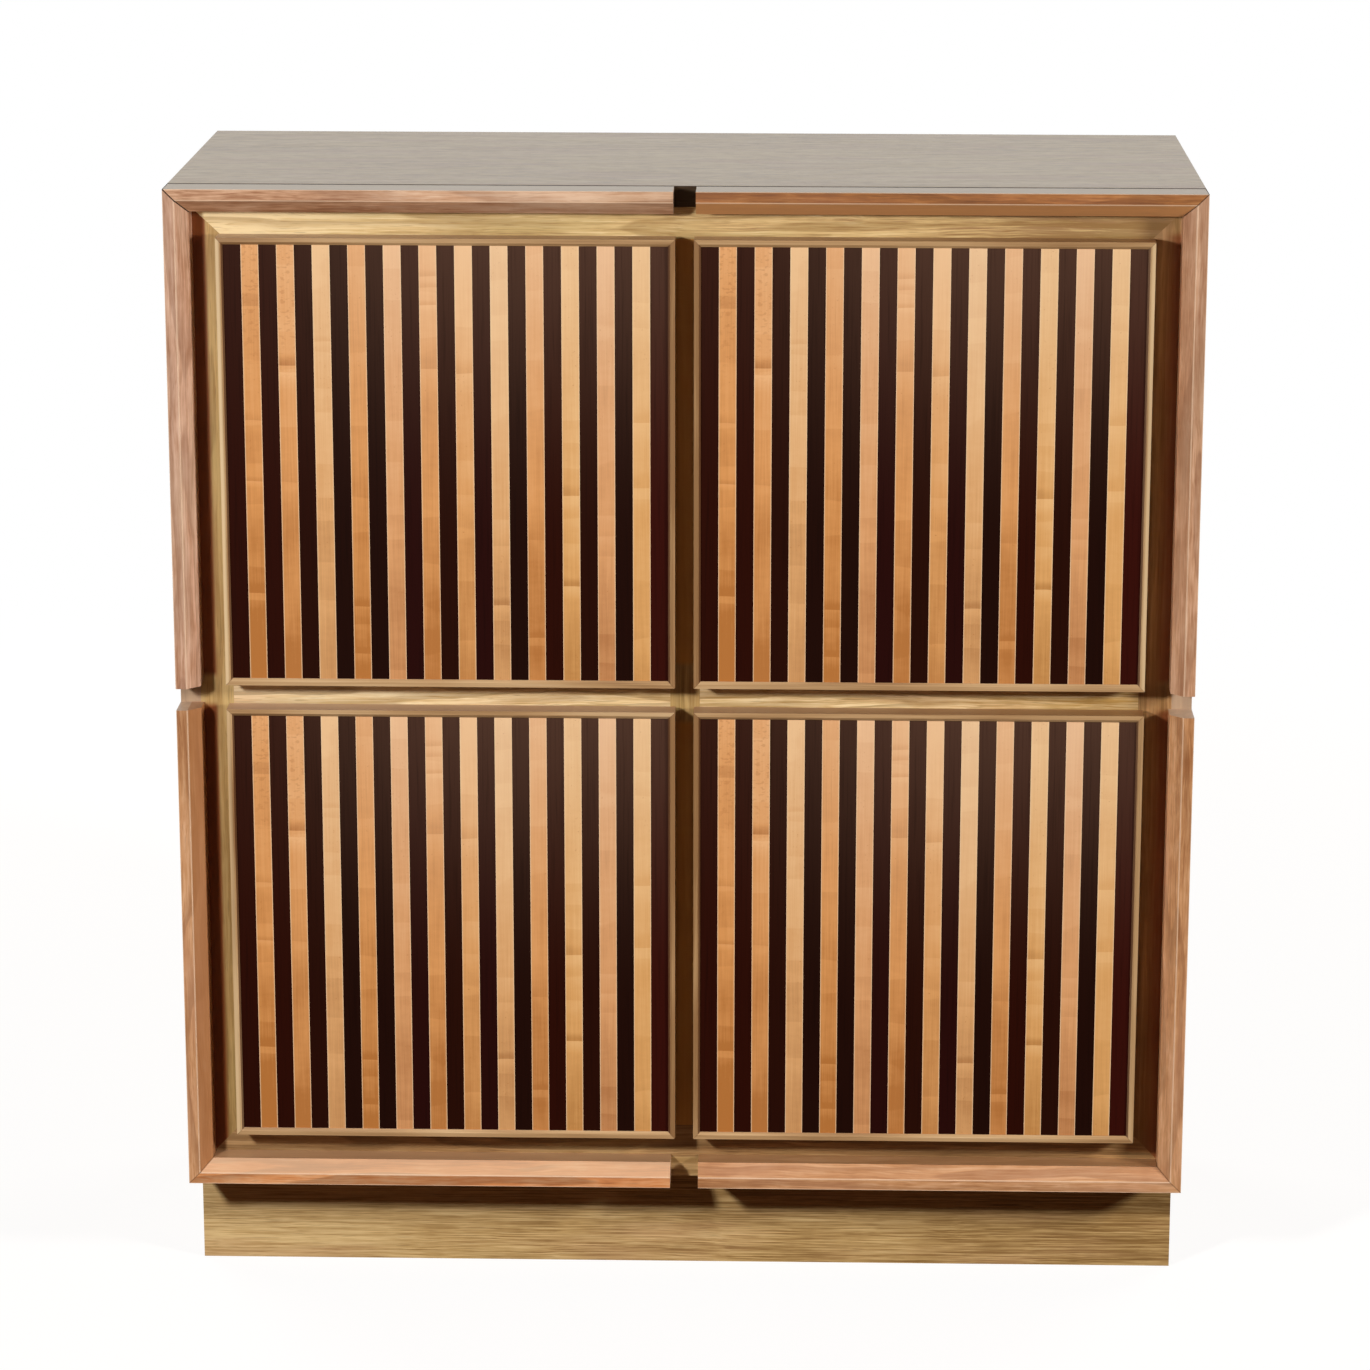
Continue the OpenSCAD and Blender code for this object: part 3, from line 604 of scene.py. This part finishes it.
def rosewoodFinish(door):
    material, finish = newFinish(door + "_rosewood")
    at = staveSpace(finish, door)
    number, x, z = at["number"], at["x"], at["z"]
    shift = finish.draw(number, *rosewood["ownDraw"]) * rosewood["ownShift"]
    across, along = rosewood["streak"]
    place = finish.vector(x * across + shift, 2.0, z * along)
    streak = finish.noise(place, detail=3.0, roughness=0.6)
    colour = staveChoice(finish, number, 0, [tint(rosewoodKinds[kind]) for kind in rosewoodStaves])
    # The painted sheen: the top colour stands in for a reflection on the upper part
    colour = finish.blend(at["sheen"] * rosewood["heightRamp"], colour, tint(rosewood["top"]))
    shade = 1.0 - finish.ease(streak, *rosewood["streakEdge"]) * rosewood["streaks"]
    colour = finish.blend(1.0, colour, finish.vector(shade, shade, shade), "MULTIPLY")
    rough = rosewood["roughness"] + (streak - 0.5) * rosewood["streakRough"]
    closeFinish(finish, colour, rough, streak, rosewood)
    return material


# Lipping: four mitred bars in one piece, so the grain turns where the distances to two sides match
lipping = {
    "pale": "d2b48a", "mid": "bc996e", "deep": "96724c", "stops": (0.2, 0.5, 0.8),
    "streak": (7.0, 420.0), "cloud": (5.0, 40.0), "apart": 3.0, "streaks": 0.8,
    "joint": "6d4b30", "jointWidth": 0.0003, "jointStrength": 0.7,
    "recessShade": "4a2410", "recessShadeFrom": 0.0056, "recessShaded": 0.8,
    "ledgeLeft": "c49e83", "ledgeRight": "95653a", "ledge": 0.8, "ledgeReach": (-0.5, 0.5),
    "crest": "f6dfb4", "crestEdge": (0.005, 0.002), "shade": 0.35, "farEdge": (0.2, 0.45),
    "crested": {"upper_left": 0.7, "upper_right": 0.5, "lower_left": 0.3, "lower_right": 0.05},
    "roughness": 0.4, "streakRough": 0.1, "relief": 0.12, "reliefDepth": 0.0002,
    "gloss": 0.5, "coat": 0.2, "coatRoughness": 0.25,
}


def lippingFinish(door, seed):
    material, finish = newFinish(door + "_lipping_wood")
    low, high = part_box(door + "_lipping")
    x, y, z = finish.coordinates()
    toSide = finish.take("MINIMUM", x - low.x, high.x - x)
    toEnd = finish.take("MINIMUM", z - low.z, high.z - z)
    upright = toSide < toEnd
    level = 1.0 - upright
    run = z * upright + x * level
    across = x * upright + z * level + upright * lipping["apart"]  # so that no grain repeats
    waves, spread = lipping["streak"]
    place = finish.vector(run * waves + seed, across * spread, y * spread)
    streak = finish.noise(place, detail=3.0, roughness=0.6)
    waves, spread = lipping["cloud"]
    place = finish.vector(run * waves - seed, across * spread, y * spread)
    cloud = finish.noise(place, detail=1.0)

    # Upright bars near the middle of the cabinet are painted darker, as painted shade, and those far
    # from it have a painted highlight along their outer edge
    far = finish.ease(finish.take("ABSOLUTE", x), *lipping["farEdge"]) * upright
    tone = cloud + (streak - 0.5) * lipping["streaks"] - (upright - far) * lipping["shade"]
    colour = finish.shades(tone, lipping, lipping["stops"])
    crest = far * finish.ease(toSide, *lipping["crestEdge"])
    colour = finish.blend(crest * lipping["crested"][door], colour, tint(lipping["crest"]))
    gap = finish.take("ABSOLUTE", toSide - toEnd) < lipping["jointWidth"]
    colour = finish.blend(gap * lipping["jointStrength"], colour, tint(lipping["joint"]))

    # The inner edge of the upright bars is painted dark, as the painted shade of the recess beside
    # the staves, and the level top of a door is painted pinker at the left and darker at the right,
    # as painted light and shade
    recessShade = upright * (toSide > lipping["recessShadeFrom"])
    colour = finish.blend(recessShade * lipping["recessShaded"], colour, tint(lipping["recessShade"]))
    upward = finish.coordinates("Normal")[2] > squareOn
    right = finish.ease(x, *lipping["ledgeReach"])
    ledge = finish.blend(right, tint(lipping["ledgeLeft"]), tint(lipping["ledgeRight"]))
    colour = finish.blend(upward * lipping["ledge"], colour, ledge)
    rough = lipping["roughness"] + (streak - 0.5) * lipping["streakRough"]
    closeFinish(finish, colour, rough, streak, lipping)
    return material


seeds = {"first": 5.0, "step": 11.3, "shelf": 2.0}
for number, door in enumerate(doors):
    seed = number * seeds["step"] + seeds["first"]
    dress(door + "_light_staves", mapleFinish(door))
    dress(door + "_dark_staves", rosewoodFinish(door))
    dress(door + "_lipping", lippingFinish(door, seed))
    dress(door + "_core", boardFinish(door + "_core_wood", innerOak, "z", seed))
    dress(door + "_shelf", boardFinish(door + "_shelf_wood", innerOak, "x", seed + seeds["shelf"]))
    soften(door + "_light_staves", edges["stave"], 1)
    soften(door + "_dark_staves", edges["stave"], 1)
    soften(door + "_lipping", edges["door"])
    soften(door + "_shelf", edges["board"])
print("doors and shelves finished")


# Hinges, pins and screws in plated steel, and soft pads for the doors
plating = {
    "bright": "d4d4d2", "dull": "a9a9a8", "brush": (300.0, 3500.0), "stainAndShade": 60.0,
    "stainEdge": (0.4, 0.7), "roughness": 0.28, "brushRough": 0.2, "stainRough": 0.08,
    "relief": 0.05, "reliefDepth": 0.0001, "gloss": 0.5, "coat": 0.0, "coatRoughness": 0.1,
    "metal": 0.75,
}
pads = {
    "colour": "e8e6df", "mark": "cfccc2", "grit": 900.0, "roughness": 0.55, "gritRough": 0.1,
    "relief": 0.1, "reliefDepth": 0.0001, "gloss": 0.4, "coat": 0.0, "coatRoughness": 0.1,
}


def platingFinish():
    material, finish = newFinish("nickel_plating")
    x, y, z = finish.coordinates()
    level, upward = plating["brush"]
    brush = finish.noise(finish.vector(x * level, y * level, z * upward))
    fine = plating["stainAndShade"]
    stainAndShade = finish.noise(finish.vector(x * fine, y * fine, z * fine))
    stainedAndShaded = finish.ease(stainAndShade, *plating["stainEdge"])
    colour = finish.blend(stainedAndShaded, tint(plating["bright"]), tint(plating["dull"]))
    rough = plating["roughness"] + (brush - 0.5) * plating["brushRough"]
    rough = rough + stainAndShade * plating["stainRough"]
    closeFinish(finish, colour, rough, brush, plating)
    return material


def padFinish():
    material, finish = newFinish("door_pad")
    x, y, z = finish.coordinates()
    fine = pads["grit"]
    grit = finish.noise(finish.vector(x * fine, y * fine, z * fine))
    colour = finish.blend(grit, tint(pads["colour"]), tint(pads["mark"]))
    closeFinish(finish, colour, pads["roughness"] + grit * pads["gritRough"], grit, pads)
    return material


steel = platingFinish()
for node in ["shelf_pins", "hinge_arms", "hinge_plates", "hinge_pins", "hinge_screws"]:
    dress(node, steel)
    soften(node, edges["metal"])
for door in doors:
    dress(door + "_hinge_cups", steel)
    soften(door + "_hinge_cups", edges["metal"])
dress("door_bumpers", padFinish())
soften("door_bumpers", edges["metal"])
print("fittings finished")


# Room: a white floor that keeps a faint shadow, a white world, one lamp from the left front and one
# from the right front, and two wide soft lamps behind the cabinet, for its back, sides and top
room = {
    "floorReach": 30.0, "floorDrop": 0.0002, "floorTone": "58402f", "floorShown": "686868",
    "floorLift": 0.88, "plainFrom": 1.6, "plainTo": 3.2,
}
# Places and sizes are in metres, and powers in watts. All lamps point at aim
light = {
    "sky": 0.022, "skyColour": "ff8b56", "shownSky": "ffffff", "mirrored": 0.6,
    "keyPower": 7.1, "keySize": 0.3, "keyPlace": (-1.47, -2.2, 1.62),
    "sidePower": 7.0, "sideSize": 0.5, "sidePlace": (2.7, -1.75, 1.62),
    "keyColour": "fff8f0", "aim": (0.0, -0.2, 0.62),
    "softPower": 120.0, "softSize": 2.6, "softColour": "fff6ec",
    "softPlaces": [(-3.2, 3.4, 2.0), (3.2, 3.4, 2.0)],
}
# The lens is in film widths, and the film in millimetres. The angles are in degrees
camera = {
    "place": (0.128, -4.825, 1.925), "pitch": 13.75, "yaw": -1.29, "roll": 0.10,
    "lens": 3.225, "film": 36.0, "shiftX": -0.016, "shiftY": -0.07,
}


def buildFloor():
    reach = room["floorReach"]
    mesh = bpy.data.meshes.new("floor")
    corners = [(reach * a, reach * b, 0.0) for a, b in ((-1, -1), (1, -1), (1, 1), (-1, 1))]
    mesh.from_pydata(corners, [], [(0, 1, 2, 3)])
    floor = bpy.data.objects.new("floor", mesh)
    bpy.context.scene.collection.objects.link(floor)
    floor.location.z = -room["floorDrop"]
    material, finish = newFinish("floor_white")
    x, y, z = finish.coordinates()
    away = finish.take("SQRT", x * x + y * y)
    plain = finish.ease(away, room["plainFrom"], room["plainTo"])
    seen = finish.add("ShaderNodeLightPath", output="Is Camera Ray")
    tone = finish.blend(seen, tint(room["floorTone"]), tint(room["floorShown"]))
    matt = finish.add("ShaderNodeBsdfDiffuse", inputs={"Color": tone})
    glow = finish.add("ShaderNodeEmission", inputs={"Strength": seen * room["floorLift"]})
    lit = finish.add("ShaderNodeAddShader", inputs={0: matt, 1: glow})
    white = finish.add("ShaderNodeEmission", inputs={"Strength": 1.0})
    surface = finish.add("ShaderNodeMixShader", inputs={0: plain * seen, 1: lit, 2: white})
    finish.add("ShaderNodeOutputMaterial", inputs={"Surface": surface})
    mesh.materials.append(material)


def buildWorld():
    world = bpy.data.worlds.new("studio")
    world.use_nodes = True
    bpy.context.scene.world = world
    finish = Finish(world.node_tree)
    path = "ShaderNodeLightPath"
    seen = finish.add(path, output="Is Camera Ray")
    mirrored = finish.add(path, output="Is Glossy Ray")
    strength = light["sky"] + seen * (1.0 - light["sky"])
    strength = strength + mirrored * (light["mirrored"] - light["sky"])
    white = finish.take("MAXIMUM", seen, mirrored)
    colour = finish.blend(white, tint(light["skyColour"]), tint(light["shownSky"]))
    sky = finish.add("ShaderNodeBackground", inputs={"Color": colour, "Strength": strength})
    finish.add("ShaderNodeOutputWorld", inputs={"Surface": sky})


def placeLamp(lamp, place):
    holder = bpy.data.objects.new(lamp.name, lamp)
    bpy.context.scene.collection.objects.link(holder)
    holder.location = place
    ray = [b - a for a, b in zip(place, light["aim"])]
    holder.rotation_euler = Vector(ray).to_track_quat("-Z", "Y").to_euler()
    return holder


# A round lamp that lights near and far parts alike
def buildEvenLamp(name, size, power, place):
    lamp = bpy.data.lights.new(name, "AREA")
    lamp.shape = "DISK"
    lamp.size = size
    lamp.energy = power
    lamp.color = tint(light["keyColour"])[:3]
    lamp.use_nodes = True
    finish = Finish(lamp.node_tree)
    even = finish.add("ShaderNodeLightFalloff", inputs={"Strength": 1.0}, output="Constant")
    glow = finish.add("ShaderNodeEmission", inputs={"Strength": even})
    finish.add("ShaderNodeOutputLight", inputs={"Surface": glow})
    return placeLamp(lamp, place)


def buildSoftLamps():
    for number, place in enumerate(light["softPlaces"]):
        lamp = bpy.data.lights.new("soft_" + str(number + 1), "AREA")
        lamp.shape = "SQUARE"
        lamp.size = light["softSize"]
        lamp.energy = light["softPower"]
        lamp.color = tint(light["softColour"])[:3]
        placeLamp(lamp, place).visible_glossy = False


def buildCamera():
    eye = bpy.data.cameras.new("camera")
    eye.lens = camera["lens"] * camera["film"]
    eye.sensor_width = camera["film"]
    eye.shift_x = camera["shiftX"]
    eye.shift_y = camera["shiftY"]
    holder = bpy.data.objects.new("camera", eye)
    bpy.context.scene.collection.objects.link(holder)
    holder.location = camera["place"]
    turn = Matrix.Rotation(math.radians(-camera["yaw"]), 4, "Z")
    tilt = Matrix.Rotation(math.radians(90.0 - camera["pitch"]), 4, "X")
    roll = Matrix.Rotation(math.radians(camera["roll"]), 4, "Z")
    holder.rotation_euler = (turn @ tilt @ roll).to_euler()
    bpy.context.scene.camera = holder


buildFloor()
buildWorld()
buildEvenLamp("key", light["keySize"], light["keyPower"], light["keyPlace"])
sideLamp = buildEvenLamp("side", light["sideSize"], light["sidePower"], light["sidePlace"])
sideLamp.visible_glossy = False
buildSoftLamps()
buildCamera()
bpy.context.scene.view_settings.view_transform = "Standard"
print("room, light and camera set")
